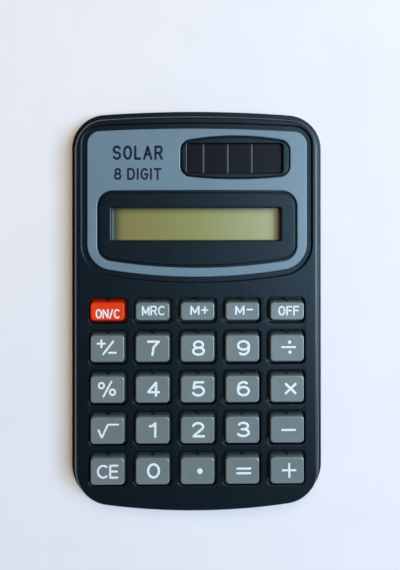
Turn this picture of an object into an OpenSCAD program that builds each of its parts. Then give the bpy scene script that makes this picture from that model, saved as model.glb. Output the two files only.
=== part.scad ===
// Dual-power pocket calculator: an assembly of separate pieces, in millimetres.
// Origin at the middle of the back face. +X right, +Y towards the display end, +Z out of the keys.

/* [Case] */
// Width over the rear case's rim
case_w = 62.2; // [61.8:0.1:63]
// Length over the rear case's rim
case_l = 99.2; // [98.8:0.1:100]
// Corner radius at the display end
top_corner_r = 8.5; // [8:0.1:9]
// Corner radius at the keypad end
low_corner_r = 10; // [9.5:0.1:10.5]
// Radius of the gentle arch of the display end
top_arch_r = 318; // [250:1:500]
// Radius of the arch of the keypad end
low_arch_r = 163; // [150:1:300]
// Height of the rear case's rim
rim_h = 4.8; // [4.6:0.1:4.9]
// Height of the front case's flat top face
case_h = 8.8; // [8.7:0.1:9]

/* [Display panel] */
// Width of the blue-grey bezel plate
plate_w = 53.3; // [52.8:0.1:53.6]
// Width of the open channel around the plate
moat_w = 1.35; // [1.1:0.05:1.4]
// Depth of the recess that the plate lies in
recess_depth = 0.75; // [0.6:0.05:0.8]
// Width of the display window
window_w = 41.2; // [38:0.1:41.6]
// Height of the display window
window_l = 8.35; // [7:0.05:8.8]

/* [Keypad] */
// Distance between key columns
pitch_x = 10.8; // [10.6:0.05:10.9]
// Distance between the four full-size key rows
pitch_y = 9.8; // [9.6:0.05:9.85]
// Width of a key hole
hole_w = 9.2; // [8.8:0.05:9.3]
// Length of a full-size key hole
hole_l = 8.25; // [7.8:0.05:8.3]
// Length of a key hole in the short first row
short_hole_l = 6.1; // [5.8:0.05:6.2]
// Gap between a key and its hole
key_gap = 0.35; // [0.25:0.05:0.4]
// How far the keys stand above the front case
key_rise = 1.5; // [1.3:0.1:1.8]
// How far a key travels when pressed
key_travel = 0.8; // [0.5:0.1:0.8]

/* [Battery] */
// Diameter of the button cell
cell_d = 11.6; // [9.5:0.1:11.6]
// Thickness of the button cell
cell_t = 3.05; // [2:0.05:3.1]

/* [Hidden] */
$fn = 48;
joint_gap = 0.05;

// A plan outline is [half width, top y, bottom y, top corner radius, bottom corner radius,
// top arch radius, bottom arch radius, centre x].
half_w = case_w / 2;
half_l = case_l / 2;
rim_outline = [half_w, half_l, -half_l, top_corner_r, low_corner_r, top_arch_r, low_arch_r, 0];
back_outline = rim_outline - [2.4, 2.4, -2.4, 2.4, 2.4, 2.4, 2.4, 0];
foot_outline = rim_outline - [0.85, 1.35, -0.85, 0.8, 0.9, 1.4, 0.9, 0];
face_outline = rim_outline - [2.5, 2.35, -2.1, 1.9, 2.3, 3, 3, 0];
plate_outline = [plate_w / 2, 44.8, 8.8, 3.15, 6.3, 420, 132, 0];
screen_outline = [24.3, 29.8, 11.0, 3.8, 3.8, 3000, 136, 0];
solar_outline = [13.4, 43.1, 32.5, 2.7, 2.7, 66, 107, 9.22];

// Casings. The shoulder turns over in a quarter of an ellipse: [share of the face outline, z].
floor_t = 1.3;
foot_z = 4.4;
shoulder = [for (a = [0:9:90]) [1 - cos(a), foot_z + (case_h - foot_z) * sin(a)]];
foot_gap = 0.3;
wall_t = 1.2;
tongue_drop = 1.0;
tongue_gap = 0.1;
tongue_t = 0.6;
recess_z = case_h - recess_depth;
ceiling_z = case_h - 1.8;
island_z = case_h - 0.1;
island_round = 0.3;
boss_sink = 0.3;

// Display panel.
screen_moat = 0.5;
solar_moat = 0.25;
window_at = [-0.2, 21.6];
window_draft = 0.15;
solar_window = [23.5, 7.35];
solar_window_at = [9.1, 37.45];
solar_draft = 0.3;
tape_t = 0.1;
tape_setback = 0.8;
plate_t = 0.75;
plate_step = 0.15;

// Keypad. Row 0 is the short row.
row_y = [0.65, -8.25, -8.25 - pitch_y, -8.25 - 2 * pitch_y, -8.25 - 3 * pitch_y];
key_top_z = case_h + key_rise;
key_lean_z = case_h - 0.5;
flange_top_z = ceiling_z - joint_gap;
flange_t = 0.6;
flange_bottom_z = flange_top_z - flange_t;
flange_w = 0.75;
tooth_w = 0.5;
tooth_d = 0.55;
slot_play = 0.15;
hole_r = 1.2;
side_draft = 0.25;
end_draft = 0.6;
edge_break = 0.25;
key_shell = 1.0;
stem_d = 2.8;

// Board and what stands on it.
board_z = 2.6;
board_t = 1.0;
board_top = board_z + board_t;
board_half_w = 28.8;
board_y = [-41.6, 31.0];
board_corner = [30, -43, 8];
sheet_t = 0.6;
sheet_half_w = 26.2;
sheet_y = [-41.2, 4.4];
dome_gap = 0.02;
contact_r = 1.7;
contact_t = 0.08;
rib_t = 0.9;

// Screws into the front case from behind, and screws that hold the board: [x, y] of each.
case_screw_at = [[-25.2, 42.9], [25.2, 42.9], [-26, 8.8], [26, 8.8], [-14, -44.3], [14, -44.3]];
board_screw_y = [22, row_y[1] - pitch_y / 2, row_y[3] - pitch_y / 2];
board_screw_at = [for (y = board_screw_y) for (x = [-27.9, 27.9]) [x, y]];
boss_r = 1.9;
boss_foot_z = 2.95;
pilot_r = 0.8;
pillar_r = 2.5;
screw_clear_r = 1.1;
head_recess_r = 2.0;
head_recess_z = 1.65;
post_r = 1.0;
board_pilot_r = 0.5;
thread_play = 0.02;

// Display and solar cell, both hung from the panel's ceiling.
glass_top = ceiling_z - joint_gap;
film_t = 0.2;
glass_t = 0.7;
front_glass_z = glass_top - film_t - glass_t;
rear_glass_z = front_glass_z - glass_t;
reflector_z = rear_glass_z - film_t;
glass_half_w = 23.5;
glass_y = [13.2, 28.8];
ledge = 2.6;
solar_size = [26.6, 9.4, 1.1];
solar_play = 0.25;
solar_ceiling_z = recess_z - 0.4;
solar_rib_z = 5.6;
lead_r = 0.4;

// Button cell.
cell_at = [-17, 38.2];
strip_t = 0.2;
strip_y = 30.2;
cell_z = floor_t + strip_t + joint_gap;
cell_top = cell_z + cell_t + joint_gap;

FIRST_KEY = 24;

// Points of an arc round c, from angle a0 to a1.
function arc(c, r, a0, a1, n) =
    [for (i = [0:n]) let (a = a0 + (a1 - a0) * i / n) c + r * [cos(a), sin(a)]];

// The same without its two end points.
function inner_arc(c, r, a0, a1, n) =
    [for (i = [1:n - 1]) let (a = a0 + (a1 - a0) * i / n) c + r * [cos(a), sin(a)]];

// A plan outline with straight sides, arched ends and round corners, moved inwards by d.
function arched(o, d = 0, n_corner = 9, n_arch = 14) =
    let (
        x = o[7],
        top_x = o[0] - o[3],
        low_x = o[0] - o[4],
        top_c = o[1] - o[5],
        low_c = o[2] + o[6],
        top_y = top_c + sqrt(pow(o[5] - o[3], 2) - top_x * top_x),
        low_y = low_c - sqrt(pow(o[6] - o[4], 2) - low_x * low_x),
        a = atan2(top_y - top_c, top_x),
        b = atan2(low_c - low_y, low_x)
    )
    concat(
        arc([x + top_x, top_y], o[3] - d, 0, a, n_corner),
        inner_arc([x, top_c], o[5] - d, a, 180 - a, n_arch),
        arc([x - top_x, top_y], o[3] - d, 180 - a, 180, n_corner),
        arc([x - low_x, low_y], o[4] - d, 180, 180 + b, n_corner),
        inner_arc([x, low_c], o[6] - d, 180 + b, 360 - b, n_arch),
        arc([x + low_x, low_y], o[4] - d, 360 - b, 360, n_corner)
    );

// A rectangle with round corners, centred on the origin.
function rounded(w, l, r, n = 5) =
    let (x = w / 2 - r, y = l / 2 - r)
    concat(
        arc([x, y], r, 0, 90, n),
        arc([-x, y], r, 90, 180, n),
        arc([-x, -y], r, 180, 270, n),
        arc([x, -y], r, 270, 360, n)
    );

// A solid through rings of points, each ring of the same number, from the bottom up.
module stacked(rings) {
    n = len(rings[0]);
    last = len(rings) - 1;
    sides = [
        for (k = [0:last - 1])
            for (i = [0:n - 1])
                let (j = (i + 1) % n)
                [k * n + i, (k + 1) * n + i, (k + 1) * n + j, k * n + j]
    ];
    base = [for (i = [0:n - 1]) i];
    lid = [for (i = [n - 1:-1:0]) last * n + i];
    polyhedron(points = [for (ring = rings) for (p = ring) p], faces = concat([base], sides, [lid]));
}

// A solid that changes from one outline to another: profile holds [share of the second outline, z].
module morphed(low, high, profile) {
    stacked([
        for (s = profile)
            [for (p = arched(low * (1 - s[0]) + high * s[0])) [p[0], p[1], s[1]]]
    ]);
}

// A prism of a plan outline moved inwards by d.
module slab(outline, d, z0, z1) {
    translate([0, 0, z0])
        linear_extrude(height = z1 - z0)
            polygon(arched(outline, d));
}

// A block given by its two opposite corners.
module block(low, high) {
    translate(low)
        cube(high - low);
}

// Half-width w at the top and smaller by draft below, as the cross-section of an opening.
function leaning_section(w, draft, z0, z1) =
    [[-w / 2 + draft, z0], [w / 2 - draft, z0], [w / 2, z1], [-w / 2, z1]];

// A window opening whose four walls lean, centred on at.
module leaning_opening(at, size, draft) {
    z0 = ceiling_z - 0.5;
    z1 = island_z + 0.5;
    translate([at[0], at[1], 0])
        intersection() {
            translate([0, size[1], 0])
                rotate([90, 0, 0])
                    linear_extrude(height = 2 * size[1])
                        polygon(leaning_section(size[0], draft, z0, z1));
            translate([-size[0], 0, 0])
                rotate([90, 0, 90])
                    linear_extrude(height = 2 * size[0])
                        polygon(leaning_section(size[1], draft, z0, z1));
        }
}

function key_hole_l(row) = row == 0 ? short_hole_l : hole_l;
function key_x(column) = (column - 2) * pitch_x;

// One key hole in plan, with the small tooth that keeps the key square.
module hole_shape(row) {
    difference() {
        polygon(rounded(hole_w, key_hole_l(row), hole_r));
        translate([-tooth_w / 2, key_hole_l(row) / 2 - tooth_d])
            square([tooth_w, 1]);
    }
}

// ---- Casings

module rear_case() {
    color("#1d252c")
    difference() {
        union() {
            difference() {
                morphed(rim_outline, back_outline, [
                    [1, 0], [0.62, 0.3], [0.3, 0.95], [0.1, 2], [0, 3.3],
                    [0, rim_h - 0.35], [0.05, rim_h - 0.1], [0.13, rim_h]
                ]);
                slab(foot_outline, wall_t - tongue_t - tongue_gap, floor_t, rim_h + 1);
                slab(foot_outline, -foot_gap, foot_z - joint_gap, rim_h + 1);
            }
            screw_pillars();
            rear_ribs();
            cell_pocket();
        }
        for (p = case_screw_at)
            translate([p[0], p[1], -1]) {
                cylinder(r = screw_clear_r, h = boss_foot_z + 1);
                cylinder(r = head_recess_r, h = head_recess_z + 1);
            }
        translate([0, 6, -1])
            linear_extrude(height = 1.25)
                polygon(rounded(30, 16, 1.5));
    }
}

// Pillars that the case screws pass through.
module screw_pillars() {
    for (p = case_screw_at)
        translate([p[0], p[1], floor_t - 0.2])
            cylinder(r = pillar_r, h = boss_foot_z - joint_gap - floor_t + 0.2);
}

// Ribs on the rear floor that carry the board under the keys.
module rear_ribs() {
    for (x = [-1.5, -0.5, 0.5, 1.5])
        block([x * pitch_x - rib_t / 2, -41, floor_t - 0.1], [x * pitch_x + rib_t / 2, 1, board_z - joint_gap]);
    for (y = [(row_y[0] + row_y[1]) / 2, (row_y[2] + row_y[3]) / 2])
        block([-24, y - rib_t / 2, floor_t - 0.1], [24, y + rib_t / 2, board_z - joint_gap]);
}

// Ring on the rear floor that the button cell drops into, open towards the board.
module cell_pocket() {
    pocket_r = cell_d / 2 + 0.2;
    translate([cell_at[0], cell_at[1], floor_t - 0.1])
        difference() {
            cylinder(r = pocket_r + rib_t, h = 2.4);
            translate([0, 0, -1])
                cylinder(r = pocket_r, h = 5);
            translate([-2.6, -pocket_r - 2, -1])
                cube([5.2, pocket_r, 5]);
        }
}

module front_case() {
    color("#222b33")
    difference() {
        union() {
            difference() {
                morphed(foot_outline, face_outline, shoulder);
                slab(foot_outline, wall_t, foot_z - 1, ceiling_z);
                slab(plate_outline, -moat_w, recess_z, case_h + 1);
            }
            island(screen_outline, screen_moat);
            island(solar_outline, solar_moat);
            tongue();
            case_bosses();
            board_posts();
            panel_ribs();
        }
        leaning_opening(window_at, [window_w, window_l], window_draft);
        leaning_opening(solar_window_at, solar_window, solar_draft);
        solar_seat(solar_rib_z - 1, solar_ceiling_z);
        for (row = [0:4])
            for (column = [0:4])
                translate([key_x(column), row_y[row], ceiling_z - 1])
                    linear_extrude(height = 3)
                        hole_shape(row);
        for (p = case_screw_at)
            translate([p[0], p[1], boss_foot_z - 1])
                cylinder(r = pilot_r, h = 4.2);
        for (p = board_screw_at)
            translate([p[0], p[1], board_top - 1])
                cylinder(r = board_pilot_r, h = 3.6);
    }
}

// A window frame that stands up through the plate, with its upper edge rounded.
module island(outline, gap) {
    profile = [
        [0, recess_z - 0.5], [0, island_z - island_round],
        [0.09, island_z - 0.09], [island_round, island_z]
    ];
    stacked([
        for (s = profile)
            [for (p = arched(outline, gap + s[0])) [p[0], p[1], s[1]]]
    ]);
}

// Lip that locates the front case inside the rear case.
module tongue() {
    difference() {
        slab(foot_outline, wall_t - tongue_t, foot_z - tongue_drop, foot_z + 0.5);
        slab(foot_outline, wall_t, foot_z - tongue_drop - 1, foot_z + 1);
    }
}

// Bosses that the case screws bite into.
module case_bosses() {
    for (p = case_screw_at)
        translate([p[0], p[1], boss_foot_z])
            cylinder(r = boss_r, h = ceiling_z + boss_sink - boss_foot_z);
}

// Posts that the board is screwed to.
module board_posts() {
    for (p = board_screw_at)
        translate([p[0], p[1], board_top + joint_gap])
            cylinder(r = post_r, h = ceiling_z + boss_sink - board_top - joint_gap);
}

// Ribs that frame the display glass and the solar cell from behind.
module panel_ribs() {
    play = 0.25;
    rib_top = ceiling_z + 0.3;
    for (side = [-1, 1])
        translate([side * (glass_half_w + play + rib_t / 2), 0, 0])
            block([-rib_t / 2, glass_y[0], 4.4], [rib_t / 2, glass_y[1], rib_top]);
    block([-glass_half_w, glass_y[1] + play, 4.4], [glass_half_w, glass_y[1] + play + rib_t, rib_top]);
    x = solar_size[0] / 2 + solar_play + rib_t;
    y = solar_size[1] / 2 + solar_play + rib_t;
    translate([solar_window_at[0], solar_window_at[1], solar_rib_z])
        block([-x, -y, 0], [x, y, rib_top - solar_rib_z]);
}

// The seat that takes the solar cell from behind.
module solar_seat(z0, z1) {
    x = solar_size[0] / 2 + solar_play;
    y = solar_size[1] / 2 + solar_play;
    translate([solar_window_at[0], solar_window_at[1], 0])
        block([-x, -y, z0], [x, y, z1]);
}

module bezel_plate() {
    z0 = recess_z + tape_t;
    color("#6b8799")
    difference() {
        union() {
            slab(plate_outline, 0, z0, z0 + plate_t - plate_step);
            slab(plate_outline, plate_step, z0, z0 + plate_t);
        }
        slab(screen_outline, 0, z0 - 1, z0 + 2);
        slab(solar_outline, 0, z0 - 1, z0 + 2);
    }
}

// Double-sided film that holds the plate, set back from the plate's edges.
module bezel_adhesive() {
    color("#d8cfa8")
    difference() {
        slab(plate_outline, tape_setback, recess_z, recess_z + tape_t);
        slab(screen_outline, -tape_setback, recess_z - 1, case_h);
        slab(solar_outline, -tape_setback, recess_z - 1, case_h);
    }
}

// ---- Display

module lcd_front_polariser() {
    color("#9a9c62")
    block([-22.4, glass_y[0] + 2.2, glass_top - film_t], [18.7, glass_y[1] - 1.2, glass_top]);
}

module lcd_front_glass() {
    color("#b9bfa4")
    block([-glass_half_w, glass_y[0], front_glass_z], [glass_half_w, glass_y[1], front_glass_z + glass_t]);
}

module lcd_rear_glass() {
    color("#aab096")
    block([-glass_half_w, glass_y[0] + ledge, rear_glass_z], [glass_half_w, glass_y[1], front_glass_z]);
}

module lcd_reflector() {
    color("#a6a86c")
    block([-22.8, glass_y[0] + ledge + 0.5, reflector_z], [22.8, glass_y[1] - 0.6, rear_glass_z]);
}

// Elastomer connector between the board and the ledge of the front glass.
module lcd_zebra_strip() {
    color("#d9d4cf")
    block([-20, glass_y[0] + 0.3, board_top], [20, glass_y[0] + 2.2, front_glass_z]);
}

module lcd_support_foam() {
    color("#3a3d40")
    block([-20, glass_y[1] - 2.8, board_top], [20, glass_y[1] - 0.8, reflector_z]);
}

// ---- Solar cell

module solar_cell() {
    color("#1e1c22")
    translate([solar_window_at[0], solar_window_at[1], solar_ceiling_z - joint_gap - solar_size[2] / 2])
        cube(solar_size, center = true);
}

// A round lead swept along a route that keeps to one x.
module lead(route) {
    sides = 8;
    last = len(route) - 1;
    stacked([
        for (i = [0:last])
            let (
                d = route[min(i + 1, last)] - route[max(i - 1, 0)],
                t = d / norm(d),
                v = cross(t, [1, 0, 0])
            )
            [
                for (k = [0:sides - 1])
                    let (a = 360 * k / sides)
                    route[i] + lead_r * ([cos(a), 0, 0] - v * sin(a))
            ]
    ]);
}

// Out of the cell's back, under its rib and down to the board.
function lead_route(x) = [
    for (p = [[36.6, 6.05], [35.4, 5.95], [34.3, 5.65], [33.2, 5.15], [32.2, 4.7], [31.2, 4.3], [30.3, 4.05]])
        [x, p[0], p[1]]
];

module solar_lead_red() {
    color("#b32020")
    lead(lead_route(solar_window_at[0] + 10.5));
}

module solar_lead_black() {
    color("#161616")
    lead(lead_route(solar_window_at[0] - 10.5));
}

// ---- Board

module circuit_board() {
    notch_r = pillar_r + 0.3;
    color("#2f6b45")
    difference() {
        block([-board_half_w, board_y[0], board_z], [board_half_w, board_y[1], board_top]);
        for (side = [-1, 1]) {
            translate([side * case_screw_at[3][0], case_screw_at[3][1], board_z - 1]) {
                cylinder(r = notch_r, h = board_t + 2);
                translate([side > 0 ? 0 : -4, -notch_r, 0])
                    cube([4, 2 * notch_r, board_t + 2]);
            }
            translate([side * board_corner[0], board_corner[1], board_z + board_t / 2])
                rotate([0, 0, 45])
                    cube([board_corner[2], board_corner[2], board_t + 2], center = true);
        }
        for (p = board_screw_at)
            translate([p[0], p[1], board_z - 1])
                cylinder(r = board_pilot_r + 0.12, h = board_t + 2);
    }
}

// Carbon pads under the domes.
module key_contacts() {
    color("#26282a")
    for (row = [0:4])
        for (column = [0:4])
            translate([key_x(column), row_y[row], board_top])
                cylinder(r = contact_r, h = contact_t);
}

// Drop of black resin over the bare chip, on the board's underside.
module controller_chip() {
    color("#0d0d0f")
    translate([0, 8.5, board_z])
        mirror([0, 0, 1])
            rotate_extrude()
                polygon(concat([[0, 0]], [for (i = [0:8]) [5.2 * cos(90 * i / 8), 0.95 * sin(90 * i / 8)]]));
}

module reservoir_capacitor() {
    color("#b98b52")
    block([-12, 8, board_top], [-8.8, 9.6, board_top + 1.2]);
}

module clamp_diode() {
    color("#2b2b2e")
    block([9, 8, board_top], [11.7, 9.6, board_top + 1.1]);
}

// One rubber dome: a cone wall, a hollow below and a plug that carries the carbon face.
module dome() {
    plug_z = board_top + contact_t + key_travel;
    head_z = flange_bottom_z - dome_gap;
    rotate_extrude()
        polygon([
            [0, plug_z], [1.2, plug_z], [1.2, plug_z + 0.5], [1.45, plug_z + 0.5], [2.1, board_top],
            [2.9, board_top], [2.9, board_top + sheet_t], [2.55, board_top + sheet_t],
            [1.85, plug_z + 1.0], [1.75, head_z], [0, head_z]
        ]);
}

module dome_sheet() {
    color("#c9cdd0")
    union() {
        difference() {
            block([-sheet_half_w, sheet_y[0], board_top], [sheet_half_w, sheet_y[1], board_top + sheet_t]);
            for (row = [0:4])
                for (column = [0:4])
                    translate([key_x(column), row_y[row], board_top - 1])
                        cylinder(r = 2.5, h = sheet_t + 2);
        }
        for (row = [0:4])
            for (column = [0:4])
                translate([key_x(column), row_y[row], 0])
                    dome();
    }
}

// ---- Battery

module button_cell() {
    color("#c3c6c9")
    translate([cell_at[0], cell_at[1], cell_z]) {
        cylinder(d = cell_d - 1.4, h = cell_t);
        translate([0, 0, 0.35])
            cylinder(d = cell_d, h = cell_t - 0.35);
    }
}

module cell_contact_negative() {
    color("#d0b46a")
    union() {
        block([cell_at[0] - 2, strip_y, floor_t], [cell_at[0] + 2, cell_at[1] + 2, floor_t + strip_t]);
        block([cell_at[0] - 2, strip_y, floor_t], [cell_at[0] + 2, strip_y + strip_t, board_z]);
    }
}

module cell_contact_positive() {
    color("#c8cace")
    union() {
        block([cell_at[0] - 2, strip_y, cell_top], [cell_at[0] + 2, cell_at[1] + 2, cell_top + strip_t]);
        block([cell_at[0] - 2, strip_y, board_top], [cell_at[0] + 2, strip_y + strip_t, cell_top + strip_t]);
    }
}

// ---- Fasteners

// A pan-head screw that points up, with a cross slot in its head.
module screw(head_r, head_h, shank_r, length) {
    difference() {
        union() {
            cylinder(r = head_r, h = head_h);
            cylinder(r = shank_r, h = head_h + length);
        }
        for (a = [0, 90])
            rotate([0, 0, a])
                cube([head_r * 1.1, 0.4, head_h], center = true);
    }
}

module case_screws() {
    color("#8d9094")
    for (p = case_screw_at)
        translate([p[0], p[1], 0.5])
            screw(1.8, head_recess_z - 0.5, pilot_r - thread_play, 4.2);
}

module board_screws() {
    color("#a3a6a9")
    for (p = board_screw_at)
        translate([p[0], p[1], board_z - 0.7])
            screw(1.0, 0.7, board_pilot_r - thread_play, 3.2);
}

// ---- Keys

// Half of a key's side view: straight through the case, leaning above it, with a broken top edge.
function key_side(half, draft) = [
    [half, flange_bottom_z], [half, key_lean_z],
    [half - draft, key_top_z - edge_break], [half - draft - edge_break, key_top_z]
];

// The whole side view, the right half followed by its mirror image.
function key_view(half, draft) =
    let (right = key_side(half, draft))
    concat(right, [for (i = [len(right) - 1:-1:0]) [-right[i][0], right[i][1]]]);

// A cap with leaning walls, a flange that the case holds down, and a hollow with a stem.
module key(row) {
    w = hole_w - 2 * key_gap;
    l = key_hole_l(row) - 2 * key_gap;
    difference() {
        union() {
            intersection() {
                translate([0, 0, flange_bottom_z])
                    linear_extrude(height = key_top_z - flange_bottom_z)
                        polygon(rounded(w, l, hole_r - 0.1));
                translate([0, l, 0])
                    rotate([90, 0, 0])
                        linear_extrude(height = 2 * l)
                            polygon(key_view(w / 2, side_draft));
                translate([-w, 0, 0])
                    rotate([90, 0, 90])
                        linear_extrude(height = 2 * w)
                            polygon(key_view(l / 2, end_draft));
            }
            translate([0, 0, flange_bottom_z])
                linear_extrude(height = flange_t)
                    polygon(rounded(w + 2 * flange_w, l + 2 * flange_w, hole_r));
        }
        translate([0, 0, flange_bottom_z - 1])
            linear_extrude(height = key_top_z - key_shell - flange_bottom_z + 1)
                difference() {
                    polygon(rounded(w - 2 * key_shell, l - 2 * key_shell, 0.4, 2));
                    circle(d = stem_d);
                }
        translate([-tooth_w / 2 - slot_play, l / 2 + key_gap - tooth_d - slot_play, flange_bottom_z - 1])
            cube([tooth_w + 2 * slot_play, 2, flange_t + 4]);
    }
}

module keypad_key(index) {
    row = floor(index / 5);
    color(index == 0 ? "#e8441c" : "#7a8789")
    translate([key_x(index % 5), row_y[row], 0])
        key(row);
}

rear_case();
front_case();
bezel_plate();
bezel_adhesive();
lcd_front_polariser();
lcd_front_glass();
lcd_rear_glass();
lcd_reflector();
lcd_zebra_strip();
lcd_support_foam();
solar_cell();
solar_lead_red();
solar_lead_black();
circuit_board();
key_contacts();
controller_chip();
reservoir_capacitor();
clamp_diode();
dome_sheet();
button_cell();
cell_contact_negative();
cell_contact_positive();
case_screws();
board_screws();
for (i = [0:24])
    keypad_key(i);
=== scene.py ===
# %% [markdown]
# # A pocket calculator, dressed on its CAD frame
#
# The packed CAD model gives every dimension and every moving body. This lesson puts finished
# surfaces round it: a moulded case in two halves, a painted bezel plate, twenty-five moulded
# keys with printed legends, a liquid-crystal display and a solar cell. Everything is in metres
# in the CAD's own frame, so a piece goes where the CAD says.

# %% Load the frame
import math
from itertools import groupby

import bpy
import numpy as np
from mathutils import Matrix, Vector
from mathutils.geometry import delaunay_2d_cdt


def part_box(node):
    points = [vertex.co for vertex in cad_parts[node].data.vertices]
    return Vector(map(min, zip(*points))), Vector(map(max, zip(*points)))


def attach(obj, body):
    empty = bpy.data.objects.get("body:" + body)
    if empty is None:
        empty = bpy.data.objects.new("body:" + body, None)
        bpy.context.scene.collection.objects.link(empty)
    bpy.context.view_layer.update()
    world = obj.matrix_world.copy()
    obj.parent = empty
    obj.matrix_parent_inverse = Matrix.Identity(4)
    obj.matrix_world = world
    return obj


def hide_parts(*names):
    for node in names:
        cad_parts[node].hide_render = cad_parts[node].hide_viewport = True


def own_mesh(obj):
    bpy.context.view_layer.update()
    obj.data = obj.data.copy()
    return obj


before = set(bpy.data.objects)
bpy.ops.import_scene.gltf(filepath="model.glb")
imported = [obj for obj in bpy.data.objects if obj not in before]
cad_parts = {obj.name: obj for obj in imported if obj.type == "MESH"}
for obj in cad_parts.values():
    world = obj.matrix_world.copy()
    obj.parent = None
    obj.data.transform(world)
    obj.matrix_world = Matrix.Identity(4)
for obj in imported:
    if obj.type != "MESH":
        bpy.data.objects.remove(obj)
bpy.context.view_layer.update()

# %% [markdown]
# ## Working in millimetres
#
# The dimensions of a calculator are easy to read in millimetres, so the shapes are worked out
# in millimetres and turned into metres once, when a mesh is made. Heights that the halves of
# the case share are measured from the CAD nodes' boxes, never guessed.

# %% Heights and places from the CAD
MM = 0.001
JOINT_GAP = 0.05  # clear space between two pieces that lie on each other
FOOT_Z = 4.4  # where the foot of the front half stands on the rear half
FLOOR_T, WALL_T, TONGUE_T, TONGUE_DROP, FOOT_GAP = 1.3, 1.2, 0.6, 1.0, 0.3


def box_mm(node):
    """Lowest and highest corner of a CAD node, in millimetres, as two arrays."""
    low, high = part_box(node)
    return np.array(low) / MM, np.array(high) / MM


HALF_W, HALF_L, RIM_Z = box_mm("rear_case")[1]
FACE_Z = box_mm("front_case")[1][2]
plate_low, plate_high = box_mm("bezel_plate")
CEILING_Z = box_mm("lcd_front_polariser")[1][2] + JOINT_GAP
RECESS_Z, ISLAND_Z = FACE_Z - 0.75, FACE_Z - 0.1
print("rim", RIM_Z, "face", FACE_Z, "ceiling", CEILING_Z)

# %% [markdown]
# ## Outlines as functions
#
# Seen from above, the case, the recess and both window frames are the same kind of shape:
# straight sides, gently arched ends and round corners. One function draws them all, and an
# offset of the shape only changes its radii. Each outline always has the same number of
# points, so any two of them can be joined by a strip of quads.


# %% Plan outlines
def arc(centre, r, start, stop, count, ends=True):
    """Points at centre + r (cos a, sin a) for count steps of a from start to stop, in degrees."""
    a = np.radians(np.linspace(start, stop, count + 1))
    if not ends:
        a = a[1:-1]
    return np.array(centre) + r * np.column_stack([np.cos(a), np.sin(a)])


def arched(o, d=0.0, corner=14, arch=36):
    """The outline with straight sides, arched ends and round corners, moved inwards by d.

    o holds half width, top y, bottom y, top and bottom corner radius, top and bottom arch
    radius, and centre x. Each corner's centre lies where a circle of its radius touches both
    the side and the arch, so the curves meet without a kink."""
    half, top, low, r_top, r_low, arch_top, arch_low, x = o
    top_x, low_x = half - r_top, half - r_low
    top_c, low_c = top - arch_top, low + arch_low
    top_y = top_c + math.sqrt((arch_top - r_top) ** 2 - top_x**2)
    low_y = low_c - math.sqrt((arch_low - r_low) ** 2 - low_x**2)
    a = math.degrees(math.atan2(top_y - top_c, top_x))
    b = math.degrees(math.atan2(low_c - low_y, low_x))
    return np.vstack([
        arc([x + top_x, top_y], r_top - d, 0, a, corner),
        arc([x, top_c], arch_top - d, a, 180 - a, arch, ends=False),
        arc([x - top_x, top_y], r_top - d, 180 - a, 180, corner),
        arc([x - low_x, low_y], r_low - d, 180, 180 + b, corner),
        arc([x, low_c], arch_low - d, 180 + b, 360 - b, arch, ends=False),
        arc([x + low_x, low_y], r_low - d, 360 - b, 360, corner),
    ])


RIM = np.array([HALF_W, HALF_L, -HALF_L, 8.5, 10, 318, 163, 0])
BACK = RIM - [2.4, 2.4, -2.4, 2.4, 2.4, 2.4, 2.4, 0]
FOOT = RIM - [0.85, 1.35, -0.85, 0.8, 0.9, 1.4, 0.9, 0]
FACE = RIM - [2.5, 2.35, -2.1, 1.9, 2.3, 3, 3, 0]
PLATE = np.array([plate_high[0], plate_high[1], plate_low[1], 3.15, 6.3, 420, 132, 0])
SCREEN = np.array([24.3, 29.8, 11.0, 3.8, 3.8, 3000, 136, 0])
SOLAR = np.array([13.4, 43.1, 32.5, 2.7, 2.7, 66, 107, 9.22])
print("points in an outline", len(arched(RIM)))

# %% [markdown]
# ## Strips, patches and welding
#
# A moulding is a skin: strips that carry a profile round an outline, and flat patches between
# them. A strip is a grid of quads over two parameters, the place along the profile and the
# place round the outline. A flat patch is a constrained triangulation, which can have any
# number of holes. `Skin` collects both, welds points that coincide, drops quads that have
# shrunk to nothing, and makes one closed mesh.


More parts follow.
